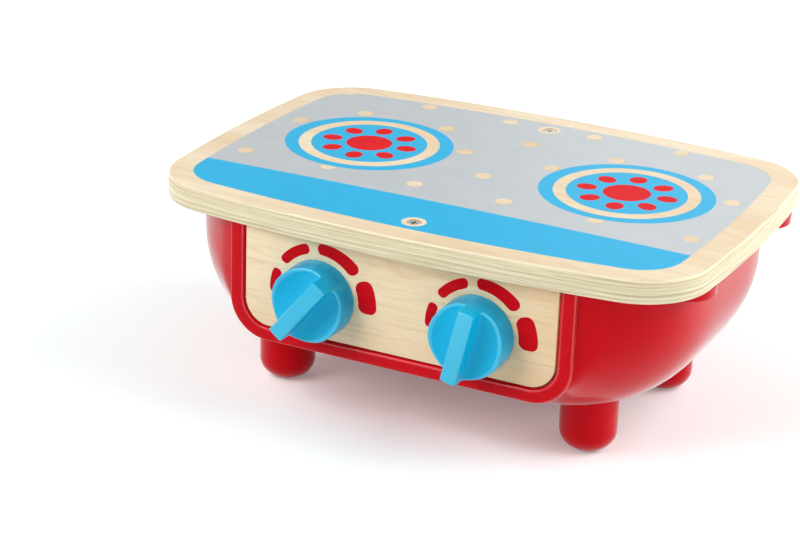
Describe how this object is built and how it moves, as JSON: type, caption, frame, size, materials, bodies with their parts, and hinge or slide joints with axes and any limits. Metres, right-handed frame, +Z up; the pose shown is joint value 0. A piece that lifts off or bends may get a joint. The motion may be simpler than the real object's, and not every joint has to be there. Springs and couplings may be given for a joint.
{
  "type": "toy stove",
  "caption": "Table-top toy stove: plywood hob board with printed burners on a bulging red plastic body with a wooden control panel, turning knobs and round feet.",
  "frame": {"origin": "on the floor, midway between the board's back edge and the knobs' front faces, on the centre line", "axes": "+Z up, the control panel and knobs face -Y, +X is to the right seen from the front"},
  "size_m": [0.3, 0.2314, 0.1134],
  "materials": {
    "board_ply": "clear satin lacquer with printed burners",
    "panel_ply": "clear satin lacquer with printed arcs",
    "red_shell": "gloss",
    "red_foot": "gloss",
    "blue_knob": "gloss",
    "dark_screw": "black oxide",
    "zinc_screw": "zinc plated",
    "spindle_steel": "ground",
    "white_plastic": "satin",
    "brass_washer": "plain"
  },
  "bodies": {
    "stove": {"hob_top": "board_ply", "hob_screws": "dark_screw", "body_shell": "red_shell", "front_panel": "panel_ply", "panel_screws": "zinc_screw", "lug_screws": "zinc_screw", "foot_screws": "zinc_screw", "click_arm_screws": "zinc_screw", "front_left_foot": "red_foot", "front_right_foot": "red_foot", "rear_left_foot": "red_foot", "rear_right_foot": "red_foot", "left_bush": "white_plastic", "left_washer": "brass_washer", "left_click_arm": "white_plastic", "right_bush": "white_plastic", "right_washer": "brass_washer", "right_click_arm": "white_plastic"},
    "left_control": {"left_knob": "blue_knob", "left_spindle": "spindle_steel", "left_click_wheel": "white_plastic", "left_spindle_screw": "zinc_screw"},
    "right_control": {"right_knob": "blue_knob", "right_spindle": "spindle_steel", "right_click_wheel": "white_plastic", "right_spindle_screw": "zinc_screw"}
  },
  "joints": [
    {"name": "left_knob_turn", "type": "hinge", "parent": "stove", "child": "left_control", "pos_m": [-0.0436, -0.09295, 0.0696], "axis": [0, -1, 0], "continuous": true},
    {"name": "right_knob_turn", "type": "hinge", "parent": "stove", "child": "right_control", "pos_m": [0.0436, -0.09295, 0.0696], "axis": [0, -1, 0], "continuous": true}
  ]
}
